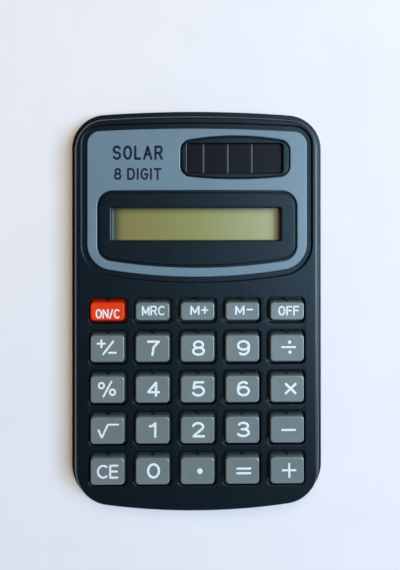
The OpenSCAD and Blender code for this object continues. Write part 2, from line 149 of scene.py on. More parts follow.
# %% The skin builder
class Skin:
    """Collects points and faces in millimetres and turns them into one welded mesh."""

    def __init__(self):
        self.points, self.faces, self.count = [], [], 0

    def add(self, points, faces):
        """Adds points (n, 3) and faces (m, 3 or 4) that index them."""
        self.points.append(np.asarray(points, float))
        self.faces.append(np.asarray(faces) + self.count)
        self.count += len(points)

    def strip(self, rings, closed=False):
        """Quads between neighbouring rings (m, n, 3).

        The outside is on the side of ring direction x profile direction."""
        rings = np.asarray(rings, float)
        m, n = rings.shape[:2]
        i = np.arange(m * n).reshape(m, n)
        if closed:
            i = np.vstack([i, i[:1]])
        a, b = i[:-1], i[1:]
        quads = np.stack([a, np.roll(a, -1, 1), np.roll(b, -1, 1), b], -1)
        self.add(rings.reshape(-1, 3), quads.reshape(-1, 4))

    def patch(self, loops, z, up=True):
        """Fills the plane z between the first loop and the others, by the even-odd rule.

        A triangle is kept if a ray from its middle to the right crosses an odd number of edges."""
        points = np.vstack([loop[:, :2] for loop in loops])
        starts = np.cumsum([0] + [len(p) for p in loops[:-1]])
        edges = np.vstack([
            np.column_stack([s + np.arange(len(p)), s + np.roll(np.arange(len(p)), -1)])
            for s, p in zip(starts, loops)
        ])
        _, _, faces, origin, _, _ = delaunay_2d_cdt(
            [Vector(p) for p in points], edges.tolist(), [], 0, 1e-6
        )
        source = np.array([o[0] for o in origin])
        tri = source[np.array(faces)]
        mid = points[tri].mean(1)
        a, b = points[edges[:, 0]], points[edges[:, 1]]
        spans = (a[None, :, 1] > mid[:, None, 1]) != (b[None, :, 1] > mid[:, None, 1])
        rise = b[:, 1] - a[:, 1]
        rise = np.where(rise == 0, 1, rise)
        cross = a[:, 0] + (mid[:, None, 1] - a[:, 1]) * (b[:, 0] - a[:, 0]) / rise
        inside = (spans & (cross > mid[:, None, 0])).sum(1) % 2 == 1
        tri = tri[inside]
        corners = points[tri]
        u, v = corners[:, 1] - corners[:, 0], corners[:, 2] - corners[:, 0]
        wrong = (u[:, 0] * v[:, 1] - u[:, 1] * v[:, 0] > 0) != up
        tri[wrong] = tri[wrong][:, ::-1]
        self.add(np.column_stack([points, np.full(len(points), z)]), tri)

    def mesh(self, name):
        """Welds points closer than a tenth of a micron, drops shrunk faces and makes the mesh.

        A quad with two equal neighbours is left as a triangle, and one with less left goes."""
        points = np.vstack(self.points)
        rounded_off = np.round(points, 4)
        _, first, same = np.unique(rounded_off, axis=0, return_index=True, return_inverse=True)
        faces = []
        for block in self.faces:
            block = same.reshape(-1)[block]
            fresh = block != np.roll(block, 1, axis=1)
            whole = block[fresh.all(1)]
            if block.shape[1] == 4:
                whole = whole[(whole[:, 0] != whole[:, 2]) & (whole[:, 1] != whole[:, 3])]
                three = fresh.sum(1) == 3
                faces += block[three][fresh[three]].reshape(-1, 3).tolist()
            faces += whole.tolist()
        mesh = bpy.data.meshes.new(name)
        mesh.from_pydata((points[first] * MM).tolist(), [], faces)
        mesh.validate()
        return mesh


def lift(loop, z):
    """A plan loop (n, 2) at height z, as a ring (n, 3)."""
    return np.column_stack([loop, np.full(len(loop), z)])


def make_piece(skin, name, material, body, sharp=35.0, replaces=()):
    """A finished piece from a skin: smooth, with edges over `sharp` degrees kept crisp."""
    mesh = skin.mesh(name)
    mesh.shade_smooth()
    mesh.set_sharp_from_angle(angle=math.radians(sharp))
    piece = bpy.data.objects.new(name, mesh)
    bpy.context.collection.objects.link(piece)
    mesh.materials.append(material)
    weight = piece.modifiers.new("Large faces lead the normals", "WEIGHTED_NORMAL")
    weight.keep_sharp = True
    weight.weight = 100
    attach(piece, body)
    if replaces:
        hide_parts(*replaces)
    print(name, len(mesh.vertices), "points", len(mesh.polygons), "faces")
    return piece


# %% [markdown]
# ## Finishes
#
# The case is ABS with a fine spark-eroded grain from its mould: thousands of tiny pits that
# break up every reflection. An image of grain would need a file, so the grain is worked out: a
# noise on Object coordinates, a few tenths of a millimetre across, drives bump and roughness,
# and a slower one drives the tone. Uniform values go straight onto the shader's sockets.


# %% The finish builder
def grey(v):
    """The grey of value v, as a colour."""
    return (v, v, v)


class Finish:
    """One material: a Principled shader and the procedural nodes that feed it."""

    def __init__(self, name):
        self.material = bpy.data.materials.new(name)
        self.material.use_nodes = True
        self.nodes, self.links = self.material.node_tree.nodes, self.material.node_tree.links
        self.nodes.clear()
        self.shader = self.nodes.new("ShaderNodeBsdfPrincipled")
        output = self.nodes.new("ShaderNodeOutputMaterial")
        self.links.new(self.shader.outputs["BSDF"], output.inputs["Surface"])

    def feed(self, node, inputs):
        """Links or sets a node's inputs: each value is another node's output or a plain value."""
        for name, value in inputs.items():
            if isinstance(value, bpy.types.NodeSocket):
                self.links.new(value, node.inputs[name])
            else:
                node.inputs[name].default_value = value

    def node(self, kind, inputs, **options):
        """A new node with its options set and its inputs fed."""
        node = self.nodes.new("ShaderNode" + kind)
        for option, value in options.items():
            setattr(node, option, value)
        self.feed(node, inputs)
        return node

    def surface(self, inputs):
        """Feeds the shader's own sockets."""
        self.feed(self.shader, inputs)

    def noise(self, scale, detail=2.0, roughness=0.5, stretch=None):
        """A grey noise on Object coordinates; scale is features per metre, stretch is per axis."""
        place = self.node("TexCoord", {}).outputs["Object"]
        if stretch:
            place = self.node("Mapping", {"Vector": place, "Scale": stretch}).outputs["Vector"]
        sockets = {"Vector": place, "Scale": scale, "Detail": detail, "Roughness": roughness}
        return self.node("TexNoise", sockets).outputs["Fac"]

    def ramp(self, source, *stops):
        """Colours along a grey source; each stop is (position 0 to 1, colour)."""
        node = self.node("ValToRGB", {"Fac": source})
        while len(node.color_ramp.elements) < len(stops):
            node.color_ramp.elements.new(0.5)
        for element, (at, colour) in zip(node.color_ramp.elements, stops):
            element.position = at
            element.color = (*colour, 1.0)
        return node.outputs["Color"]

    def drift(self, source, low, high):
        """Goes from one colour to the other over the middle of a noise's range."""
        return self.ramp(source, (0.3, low), (0.7, high))

    def along(self, axis):
        """The piece's own X, Y or Z in metres."""
        place = self.node("TexCoord", {}).outputs["Object"]
        return self.node("SeparateXYZ", {"Vector": place}).outputs[axis]

    def span(self, source, low, high):
        """0 where source is low and 1 where it is high, clamped between."""
        sockets = {"Value": source, "From Min": low, "From Max": high}
        return self.node("MapRange", sockets).outputs["Result"]

    def multiply(self, a, b):
        """Two colours multiplied; a Mix node's colour sockets are numbers 6 and 7, and output 2."""
        sockets = {0: 1.0, 6: a, 7: b}
        return self.node("Mix", sockets, data_type="RGBA", blend_type="MULTIPLY").outputs[2]

    def compute(self, operation, a, b):
        """A Math node's result; a and b are outputs or numbers."""
        return self.node("Math", {0: a, 1: b}, operation=operation).outputs[0]

    def bump(self, source, relief):
        """Bump from a grey source; relief is its full height in metres."""
        sockets = {"Strength": 1.0, "Distance": relief, "Height": source}
        self.surface({"Normal": self.node("Bump", sockets).outputs["Normal"]})


print("Finish can", [name for name in vars(Finish) if not name.startswith("_")])


# %% Plastic finishes
DRIFT_SCALE = 220  # changes of tone per metre


def moulded(name, dark, light, grain, relief, rough, specular=0.5, tint=(1, 1, 1), wall_shade=None):
    """Moulded plastic: tone drifts between two colours, and a grain gives bump and uneven gloss.

    grain is pits per metre, relief their depth in metres, rough a (low, high) pair, and the last
    argument, if given, is a painted shade as (z low, z high, colour): below z low the tone is
    multiplied by that colour, which fades to full tone by z high, so the foot of a key's wall is
    painted darker."""
    finish = Finish(name)
    pits = finish.noise(grain, 3.0, 0.6)
    tone = finish.drift(finish.noise(DRIFT_SCALE, 4.0, 0.65), dark, light)
    # Painted shade: the tone darkens towards the foot of a key's wall.
    if wall_shade:
        low, high, colour = wall_shade
        height = finish.span(finish.along("Z"), low, high)
        tone = finish.multiply(tone, finish.ramp(height, (0.0, colour), (1.0, grey(1.0))))
    finish.surface({
        "Base Color": tone,
        "Roughness": finish.drift(pits, grey(rough[0]), grey(rough[1])),
        "Specular IOR Level": specular,
        "Specular Tint": (*tint, 1.0),
    })
    finish.bump(pits, relief)
    return finish.material


CASE_TINT = (0.74, 0.94, 1.0)
# Heights in metres where the painted shade on the key walls is darkest and where it ends.
WALL_SHADE_LOW, WALL_SHADE_HIGH = 0.009, 0.0101
front_plastic = moulded(
    "case_front_grained_abs", (0.0018, 0.0042, 0.007), (0.003, 0.0062, 0.01),
    3000, 4.5e-5, (0.32, 0.42), specular=0.25, tint=CASE_TINT)
rear_plastic = moulded(
    "case_rear_grained_abs", (0.0018, 0.004, 0.0066), (0.003, 0.0058, 0.0094),
    2100, 5e-5, (0.34, 0.44), specular=0.25, tint=CASE_TINT)
plate_paint = moulded(
    "bezel_satin_blue_grey", (0.127, 0.205, 0.256), (0.139, 0.222, 0.274),
    7000, 6e-6, (0.36, 0.46))
# Both key plastics carry a painted shade low on their walls.
key_plastic = moulded(
    "key_grey_moulded", (0.142, 0.182, 0.178), (0.157, 0.2, 0.196),
    6500, 6e-6, (0.34, 0.44), specular=0.6, wall_shade=(WALL_SHADE_LOW, WALL_SHADE_HIGH, (0.17, 0.27, 0.36)))
red_plastic = moulded(
    "key_red_moulded", (0.74, 0.038, 0.003), (0.82, 0.048, 0.004),
    6500, 6e-6, (0.34, 0.46), specular=0.2, wall_shade=(WALL_SHADE_LOW, WALL_SHADE_HIGH, (0.45, 0.35, 0.35)))
print("key plastic has", len(key_plastic.node_tree.nodes), "nodes")

# %% [markdown]
# ## The front case
#
# The real one is a single moulding, a little over a millimetre thick. Its section rises
# straight from the parting line, turns over in a quarter of an ellipse, and ends in a narrow
# flat land. Inside the land lies a moat, and out of the moat's floor stand the two window
# frames. A box with bevels would lose that section, so each ring is worked out: the share of
# the way from the foot outline to the face outline is 1 - cos a, and the height is sin a.


# %% Front case: outer wall and shoulder
def turn_over(low, high, z0, z1, steps):
    """Rings from one outline to another along a quarter of an ellipse."""
    return [
        lift(arched(low * math.cos(t) + high * (1 - math.cos(t))), z0 + (z1 - z0) * math.sin(t))
        for t in np.linspace(0, np.pi / 2, steps + 1)
    ]


def edge_round(outline_at, r, z, steps=4):
    """Rings of a convex edge of radius r, from the flat plane z down to the wall.

    outline_at(d) is the loop at distance d outside the wall. Over a quarter turn t, d is
    r (1 - sin t) and the height is z - r (1 - cos t)."""
    a = np.linspace(0, np.pi / 2, steps + 1)
    return [lift(outline_at(r * (1 - math.sin(t))), z - r * (1 - math.cos(t))) for t in a]


def section(outline, *stations):
    """Rings round an outline, one for each (inset, height)."""
    return [lift(arched(outline, d), z) for d, z in stations]


def eased(outline, r, z, count, inset=0.0, start=0.0):
    """count rings up a wall and over its edge of radius r, which ends in the plane z.

    From t = start to a quarter turn, the inset grows by r (1 - cos t) at z - r (1 - sin t)."""
    turn = np.linspace(start, np.pi / 2, count)
    return section(outline, *zip(inset + r * (1 - np.cos(turn)), z - r * (1 - np.sin(turn))))


TENON, TENON_Z = WALL_T - TONGUE_T, FOOT_Z - TONGUE_DROP
front = Skin()
front.strip(
    section(
        FOOT, (WALL_T, CEILING_Z), (WALL_T, TENON_Z), (TENON, TENON_Z), (TENON, FOOT_Z),
        (0.15, FOOT_Z), (0.04, FOOT_Z + 0.04),
    )
    + turn_over(FOOT, FACE, FOOT_Z + 0.15, FACE_Z, 18)
)
print("section rings", len(front.points[0]) // len(arched(RIM)))

# %% [markdown]
# ## Moat and window frames
#
# The moat's outer edge is rounded so that it catches a fine line of light. The two window
# frames rise through the plate's cut-outs, and each window is an opening with leaning walls
# and small corner radii.


# %% Rounded rectangles, windows and the moat
def rounded(w, l, r, corner=6, xs=(), ys=()):
    """A rectangle with round corners, anticlockwise from the right.

    xs and ys add points on its sides."""
    x, y = w / 2 - r, l / 2 - r
    xs, ys = np.array(xs, float), np.array(ys, float)
    return np.vstack([
        arc([x, y], r, 0, 90, corner),
        np.column_stack([-xs, np.full(len(xs), l / 2)]),
        arc([-x, y], r, 90, 180, corner),
        np.column_stack([np.full(len(ys), -w / 2), -ys]),
        arc([-x, -y], r, 180, 270, corner),
        np.column_stack([xs, np.full(len(xs), -l / 2)]),
        arc([x, -y], r, 270, 360, corner),
        np.column_stack([np.full(len(ys), w / 2), ys]),
    ])


MOAT_W, MOAT_FILLET, SCREEN_MOAT, SOLAR_MOAT, ISLAND_EDGE = 1.35, 0.12, 0.5, 0.25, 0.3
moat_edge = edge_round(lambda d: arched(PLATE, -MOAT_W - d), 0.22, FACE_Z)
moat_foot = arched(PLATE, MOAT_FILLET - MOAT_W)
front.strip(moat_edge + section(
    PLATE, (-MOAT_W, RECESS_Z + MOAT_FILLET), (0.035 - MOAT_W, RECESS_Z + 0.035),
    (MOAT_FILLET - MOAT_W, RECESS_Z),
))


def window_frame(outline, gap, centre, w, l, r, draft, lip, foot_z):
    """One island: up its wall, round its edge, across to the window and down the leaning walls.

    The window is w by l with corners of radius r, lip is the radius of its upper edge, and its
    walls lean in by draft on the way down to foot_z. Returns the loop at the walls' foot."""
    def opening(d):
        return rounded(w + 2 * d, l + 2 * d, r + d) + centre

    up = section(outline, (gap, RECESS_Z), (gap, ISLAND_Z - ISLAND_EDGE))
    up += eased(outline, ISLAND_EDGE, ISLAND_Z, 5, inset=gap, start=0.2)
    foot = rounded(w - 2 * draft, l - 2 * draft, r) + centre
    down = edge_round(opening, lip, ISLAND_Z, 6) + [lift(foot, foot_z)]
    front.strip(up)
    front.strip(down)
    front.patch([up[-1], down[0]], ISLAND_Z)
    return foot


SOLAR_CEILING_Z = RECESS_Z - 0.4
screen_hole = window_frame(
    SCREEN, SCREEN_MOAT, [-0.25, 21.6], 41.4, 8.05, 0.35, 0.1, 0.28, CEILING_Z
)
solar_hole = window_frame(
    SOLAR, SOLAR_MOAT, [9.14, 37.62], 23.4, 7.2, 0.7, 0.04, 0.26, SOLAR_CEILING_Z
)
front.patch([moat_foot, arched(SCREEN, SCREEN_MOAT), arched(SOLAR, SOLAR_MOAT)], RECESS_Z)
print("window walls' feet", len(screen_hole), len(solar_hole), "points")

# %% [markdown]
# ## Key holes
#
# Each hole has rounded edges and, in the middle of its upper side, a small tooth that runs in
# a slot of the key and keeps it square. The tooth is made by letting two pairs of points on
# that side step inwards, so the hole is still one strip.

# %% Key holes
KEYS = [
    "on_clear", "memory_recall", "memory_add", "memory_subtract", "off",
    "change_sign", "7", "8", "9", "divide",
    "percent", "4", "5", "6", "multiply",
    "square_root", "1", "2", "3", "subtract",
    "clear_entry", "0", "point", "equals", "add",
]
TOOTH_HALF, TOOTH_D, KEY_GAP, FLANGE_W, HOLE_R = 0.25, 0.55, 0.35, 0.75, 1.2
TALL_CAP = 7  # caps longer than this are in the four lower rows
INK_ROOM = 0.03
HOLE_XS = [-2.0, -TOOTH_HALF - 0.01, -TOOTH_HALF, TOOTH_HALF, TOOTH_HALF + 0.01, 2.0]


def key_place(name):
    """Centre (x, y), cap width and length, and lowest and highest z of a key, from its CAD box.

    The face stays INK_ROOM below the box, so that the ink ends inside it."""
    low, high = box_mm("key_" + name)
    w, l = (high - low)[:2] - 2 * FLANGE_W
    return (low + high)[:2] / 2, w, l, low[2], high[2] - INK_ROOM


def notch(loop, half, depth):
    """Moves the points of a loop's upper side that lie within half of its middle in by depth."""
    loop = loop.copy()
    mid = (np.abs(loop[:, 0]) < half + 1e-6) & (loop[:, 1] > loop[:, 1].max() - 0.01)
    loop[mid, 1] -= depth
    return loop


hole_tops, hole_feet = [], []
for name in KEYS:
    centre, w, l, _, _ = key_place(name)
    w, l = w + 2 * KEY_GAP, (8.25 if l > TALL_CAP else 6.1)

    def hole(d):
        return rounded(w + 2 * d, l + 2 * d, HOLE_R + d, 7, HOLE_XS, [-1, 1])

    rings = [r + [*centre, 0] for r in edge_round(hole, 0.28, FACE_Z, 5)]
    toothed = notch(hole(0), TOOTH_HALF, TOOTH_D) + centre
    rings += [lift(toothed, FACE_Z - 0.3), lift(toothed, CEILING_Z)]
    front.strip(rings)
    hole_tops.append(rings[0])
    hole_feet.append(toothed)
front.patch([arched(FACE), moat_edge[0], *hole_tops], FACE_Z)
print("holes", len(hole_tops))

# %% [markdown]
# ## Behind the face
#
# Bosses take the case screws and posts take the board screws. Both are turned shapes, a
# profile spun round an axis, with a blind pilot hole. The solar cell lies in a stepped seat in
# the ceiling, and a frame of thin wall holds the display glass. Bosses and frame start a
# little way inside the ceiling, so that they need no patch where they meet it.


# %% The solar seat and the ceiling
SEAT_AT, SEAT_STEP_Z = [9.1, 37.45], 5.6
seat = [
    lift(rounded(w, l, r) + SEAT_AT, z)
    for w, l, r, z in (
        (27.1, 9.9, 0.3, SOLAR_CEILING_Z), (27.1, 9.9, 0.3, SEAT_STEP_Z),
        (28.9, 11.7, 1.0, SEAT_STEP_Z), (28.9, 11.7, 1.0, CEILING_Z),
    )
]
front.strip(seat)
front.patch([seat[0], solar_hole], SOLAR_CEILING_Z, up=False)
ceiling = [arched(FOOT, WALL_T), screen_hole, seat[-1], *hole_feet]
front.patch(ceiling, CEILING_Z, up=False)
print("openings in the ceiling", len(ceiling) - 1)


# %% Bosses, posts and ribs
def circle(centre, r, count=40):
    """count points round a circle, anticlockwise from the right."""
    a = np.linspace(0, 2 * np.pi, count, endpoint=False)
    return np.array(centre) + r * np.column_stack([np.cos(a), np.sin(a)])


def turned(skin, centre, profile, count=40):
    """Spins a profile of (radius, z) round a centre."""
    skin.strip([lift(circle(centre, r, count), z) for r, z in profile])


def boss(skin, centre, r, pilot, z0, z1, depth):
    """A post hanging from z1 down to z0, with a blind pilot hole from below."""
    turned(skin, centre, [
        (0, z0 + depth), (pilot, z0 + depth), (pilot, z0 + 0.15), (pilot + 0.15, z0),
        (r - 0.12, z0), (r, z0 + 0.12), (r, z1), (0, z1),
    ])


CASE_SCREWS = [(-25.2, 42.9), (25.2, 42.9), (-26, 8.8), (26, 8.8), (-14, -44.3), (14, -44.3)]
BOARD_SCREWS = [(x, y) for y in (22, -13.15, -32.75) for x in (-27.9, 27.9)]
ROOT_Z = CEILING_Z + 0.3
for at in CASE_SCREWS:
    boss(front, at, 1.9, 0.8, 2.95, ROOT_Z, 3.2)
for at in BOARD_SCREWS:
    boss(front, at, 1.0, 0.5, 3.65, ROOT_Z, 2.55)
GLASS_AT, GLASS_FRAME_Z = [0, 21.225], 4.4
inner, outer = rounded(47.5, 15.65, 0.3) + GLASS_AT, rounded(49.3, 17.45, 1.0) + GLASS_AT
frame_wall = ((inner, ROOT_Z), (inner, GLASS_FRAME_Z), (outer, GLASS_FRAME_Z), (outer, ROOT_Z))
front.strip([lift(loop, z) for loop, z in frame_wall], closed=True)
make_piece(
    front, "front_case_moulding", front_plastic, "body", replaces=["front_case"]
)

# %% [markdown]
# ## The rear case
#
# A shallow tray. Its side also turns under in a quarter of an ellipse, its rim is rounded, and
# a step inside the rim takes the front half's foot, which leaves the fine shadow line that
# runs round the whole calculator. Six pillars rise from the floor round the screw holes, ribs
# carry the board under the keys, and a ring that is open on one side holds the button cell.

# %% Rear case
BACK_TURN_Z, RIM_R, PILLAR_R, PILLAR_Z, MOUTH_R = 3.3, 0.3, 2.5, 2.9, 1.94
LABEL_AT, LABEL_Z = [0, 6], 0.25
under = [
    lift(arched(RIM * math.sin(t) + BACK * (1 - math.sin(t))), BACK_TURN_Z * (1 - math.cos(t)))
    for t in np.linspace(0, np.pi / 2, 15)
]
TRAY = TENON - 0.1
rear = Skin()
rear.strip(under + eased(RIM, RIM_R, RIM_Z, 5) + section(
    FOOT, (-FOOT_GAP - 0.05, RIM_Z), (-FOOT_GAP, RIM_Z - 0.05), (-FOOT_GAP, FOOT_Z - JOINT_GAP),
    (TRAY, FOOT_Z - JOINT_GAP), (TRAY, FLOOR_T),
))
for at in CASE_SCREWS:
    turned(rear, at, [
        (PILLAR_R, FLOOR_T), (PILLAR_R, PILLAR_Z - 0.1), (PILLAR_R - 0.1, PILLAR_Z),
        (1.1, PILLAR_Z), (1.1, 1.65), (1.86, 1.65), (1.86, 0.08), (1.88, 0.02), (MOUTH_R, 0),
    ])
label = [
    lift(rounded(30 + 2 * d, 16 + 2 * d, 1.5 + d) + LABEL_AT, z)
    for d, z in ((0, LABEL_Z), (0, 0.1), (0.03, 0.03), (0.1, 0))
]
rear.strip(label)
rear.patch([label[0]], LABEL_Z, up=False)
mouths = [circle(at, MOUTH_R) for at in CASE_SCREWS]
rear.patch([arched(BACK), label[-1], *mouths], 0, up=False)
rear.patch([arched(FOOT, TRAY), *[circle(at, PILLAR_R) for at in CASE_SCREWS]], FLOOR_T)
print("tray points", rear.count)


# %% Ribs and the cell's ring
def upright(skin, loop, z0, z1):
    """A closed upright block on a plan loop, with a flat foot and a flat top."""
    skin.strip([lift(loop, z0), lift(loop, z1)])
    skin.patch([loop], z1)
    skin.patch([loop], z0, up=False)


RIB_T, RIB_TOP = 0.9, box_mm("circuit_board")[0][2] - JOINT_GAP
ROW_Y = [key_place(name)[0][1] for name in KEYS[::5]]
COLUMN_X = [key_place(name)[0][0] for name in KEYS[5:10]]
for x in (np.array(COLUMN_X[:-1]) + COLUMN_X[1:]) / 2:
    upright(rear, rounded(RIB_T, 42, 0.2, 2) + [x, -20], FLOOR_T - 0.1, RIB_TOP)
for y in ((ROW_Y[0] + ROW_Y[1]) / 2, (ROW_Y[2] + ROW_Y[3]) / 2):
    upright(rear, rounded(48, RIB_T, 0.2, 2) + [0, y], FLOOR_T - 0.15, RIB_TOP - 0.05)
cell_low, cell_high = box_mm("button_cell")
cell_at, ring_r = (cell_low + cell_high)[:2] / 2, (cell_high - cell_low)[0] / 2 + 0.2
RING_GAP_HALF = 2.6
inner_gap, outer_gap = (
    math.degrees(math.asin(RING_GAP_HALF / r)) for r in (ring_r, ring_r + RIB_T)
)
upright(rear, np.vstack([
    arc(cell_at, ring_r + RIB_T, outer_gap - 90, 270 - outer_gap, 60),
    arc(cell_at, ring_r, 270 - inner_gap, inner_gap - 90, 60),
]), FLOOR_T - 0.1, FLOOR_T + 2.3)
make_piece(
    rear, "rear_case_moulding", rear_plastic, "body", replaces=["rear_case"]
)

# %% [markdown]
# ## The bezel plate
#
# A separate moulding in satin blue-grey, glued into the recess. All its edges, also those of
# the two cut-outs, are rounded to about two tenths of a millimetre.

# %% Bezel plate
PLATE_EDGE_R, BREAK = 0.22, 0.05  # the underside's edges are broken by BREAK
under_z, top_z = plate_low[2], plate_high[2]
outer = section(PLATE, (BREAK, under_z), (0, under_z + BREAK))
outer += eased(PLATE, PLATE_EDGE_R, top_z, 6)
plate = Skin()
plate.strip(outer)
tops, feet = [outer[-1]], [outer[0]]
for outline in (SCREEN, SOLAR):
    rings = edge_round(lambda d: arched(outline, -d), PLATE_EDGE_R, top_z, 5)
    rings += section(outline, (0, under_z + BREAK), (-BREAK, under_z))
    plate.strip(rings)
    tops.append(rings[0])
    feet.append(rings[-1])
plate.patch(tops, top_z)
plate.patch(feet, under_z, up=False)
make_piece(
    plate, "bezel_plate_moulding", plate_paint, "body", replaces=["bezel_plate"]
)

# %% [markdown]
# ## A key
#
# Every key is one closed surface, from the tip of the stem below to the middle of the finger
# face above. The rings go down the stem, across the hollow, round the flange, up the wall,
# over the rounded edge and in to the middle. The finger face is dished by a few hundredths
# of a millimetre, enough to make each key catch the light as a moulding does.

# %% Key shape
KEY_XS = [-2.4, -1.2, -0.41, -0.4, 0.4, 0.41, 1.2, 2.4]
SLOT_HALF, CAP_R, LEAN_Z, SIDE_DRAFT, END_DRAFT, DISH = 0.4, 1.1, 8.3, 0.25, 0.6, 0.05
EDGE_RUN, EDGE_RISE = 0.266, 0.21
STEM_R, HOLLOW_Z, FLANGE_T = 1.4, 9.3, 0.6


def key_rings(w, l, z0, z1):
    """All rings of a key round its own centre, from the stem's underside to the top's middle.

    The wall leans in by SIDE_DRAFT and END_DRAFT, its edge is a quarter of an ellipse
    EDGE_RUN wide and EDGE_RISE high, and the face sinks by DISH (1 - s^2) at the share s of
    the way from its middle to its edge."""
    ys = [-1.6, 0, 1.6] if l > TALL_CAP else [-1, 0, 1]

    def loop(dx, dy, r, cut=0.0):
        shape = rounded(w - 2 * dx, l - 2 * dy, r, 7, KEY_XS, ys)
        return notch(shape, SLOT_HALF, cut) if cut else shape

    base = loop(0, 0, CAP_R)
    turn = np.arctan2(base[:, 1], base[:, 0])
    stem = np.column_stack([np.cos(turn), np.sin(turn)]) * STEM_R
    slot = TOOTH_D + 0.15 - KEY_GAP
    flange = loop(-FLANGE_W, -FLANGE_W, HOLE_R, slot + FLANGE_W)
    rings = [
        (stem * 0, z0), (stem * 0.9, z0), (stem, z0 + 0.15), (stem, HOLLOW_Z),
        (loop(1.05, 1.0, 0.35), HOLLOW_Z), (loop(1.0, 0.95, 0.4), z0),
        (loop(0.1 - FLANGE_W, 0.1 - FLANGE_W, HOLE_R, slot), z0),
        (flange, z0 + 0.1), (flange, z0 + FLANGE_T),
        (loop(0, 0, CAP_R, slot), z0 + FLANGE_T), (loop(0, 0, CAP_R, slot), LEAN_Z),
    ]
    wall_top = z1 - EDGE_RISE
    for t in (0.25, 0.5, 0.75, 1.0):
        cut = max(slot - END_DRAFT * t, 0)
        leaning = loop(SIDE_DRAFT * t, END_DRAFT * t, CAP_R - 0.2 * t, cut)
        rings.append((leaning, LEAN_Z + (wall_top - LEAN_Z) * t))
    for t in (0.2, 0.4, 0.6, 0.8, 1.0):
        a = t * np.pi / 2
        inset = EDGE_RUN * (1 - math.cos(a))
        edge = loop(SIDE_DRAFT + inset, END_DRAFT + inset, 0.85 - 0.1 * t)
        rings.append((edge, wall_top + EDGE_RISE * math.sin(a)))
    for s in (0.97, 0.9, 0.75, 0.55, 0.35, 0.15, 0.0):
        rings.append((edge * s, z1 - DISH * (1 - s**2)))
    return np.array([lift(ring, z) for ring, z in rings])


def key_top_z(w, l, z1, xy):
    """Height of the dished face at points xy round the key's centre, by the same rule."""
    half = np.array([w / 2 - SIDE_DRAFT, l / 2 - END_DRAFT]) - EDGE_RUN
    s = (np.abs(xy) / half).max(1)
    return z1 - DISH * (1 - np.clip(s, 0, 1) ** 2)


for name in KEYS:
    centre, w, l, z0, z1 = key_place(name)
    shape = Skin()
    shape.strip(key_rings(w, l, z0, z1) + [*centre, 0])
    red = name == "on_clear"
    make_piece(
        shape, f"key_{name}_cap", red_plastic if red else key_plastic, f"key_{name}",
        replaces=[f"key_{name}"],
    )

# %% [markdown]
# ## The dome sheet
#
# One silicone sheet lies under the keys: a flat web with a round opening at every key, and in each
# opening a dome that holds the key up. A pressed dome collapses by the key's travel; each dome here
# is a piece of its own, fixed to the body in its resting shape.

# %% Web and domes
silicone = moulded(
    "silicone_sheet", (0.42, 0.45, 0.47), (0.5, 0.53, 0.55), 3500, 8e-6, (0.45, 0.6)
)
SHEET_T, DOME_R, TRAVEL = 0.6, 2.9, 0.8
sheet_low, sheet_high = box_mm("dome_sheet")
board_top, head_z = sheet_low[2], sheet_high[2]
web_top, plug_z = board_top + SHEET_T, board_top + TRAVEL + 0.08
outside = rounded(*(sheet_high - sheet_low)[:2], 1.0) + (sheet_low + sheet_high)[:2] / 2
openings = [circle(key_place(name)[0], DOME_R - 0.02) for name in KEYS]
web = Skin()
web.strip([lift(outside, board_top), lift(outside, web_top)])
for opening in openings:
    web.strip([lift(opening, web_top), lift(opening, board_top)])
web.patch([outside, *openings], web_top)
web.patch([outside, *openings], board_top, up=False)
make_piece(web, "dome_sheet_web", silicone, "body", replaces=["dome_sheet"])
DOME = [
    (0, plug_z), (1.15, plug_z), (1.2, plug_z + 0.05), (1.2, plug_z + 0.5),
    (1.45, plug_z + 0.5), (2.1, board_top), (DOME_R, board_top), (DOME_R, web_top),
    (2.55, web_top), (2.35, web_top + 0.12), (1.85, plug_z + 1.0), (1.75, head_z - 0.08),
    (1.67, head_z), (0, head_z),
]
for name in KEYS:
    dome = Skin()
    turned(dome, key_place(name)[0], DOME, 48)
    piece = make_piece(dome, f"dome_{name}", silicone, "body")
    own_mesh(piece)
print("dome height", head_z - board_top)

# %% [markdown]
# ## Printed legends
#
# The legends are pad-printed in white ink with round-ended strokes of even width. A stroke is
# a thin raised ribbon: its path is a polyline or an arc, and its half-width shrinks as the
# square root near both ends, which makes the round ends. Each ribbon follows the dished face.


# %% Stroke font
STATION = 0.12


def line(*points):
    """A path through points, with one every STATION or so, to follow a curved face."""
    p = np.array(points, float)
    out = [p[:1]]
    for a, b in zip(p[:-1], p[1:]):
        n = max(2, int(np.hypot(*(b - a)) / STATION))
        out.append(a + (b - a) * np.linspace(0, 1, n + 1)[1:, None])
    return np.vstack(out)


def bow(cx, cy, rx, ry, start, stop):
    """Part of an ellipse from start to stop degrees, anticlockwise if stop is larger."""
    n = max(6, int(abs(stop - start) / 9))
    a = np.radians(np.linspace(start, stop, n + 1))
    return np.column_stack([cx + rx * np.cos(a), cy + ry * np.sin(a)])


def stroke(*parts):
    """A stroke's path: pairs are points joined by straight lines, sixes are bows."""
    runs = []
    for size, group in groupby(parts, len):
        runs += [line(*group)] if size == 2 else [bow(*part) for part in group]
    p = np.vstack(runs)
    return p[np.r_[True, np.hypot(*np.diff(p, axis=0).T) > 1e-4]]


print("a stroke round a corner has", len(stroke((0, 0), (0, 1), (1, 1))), "points")

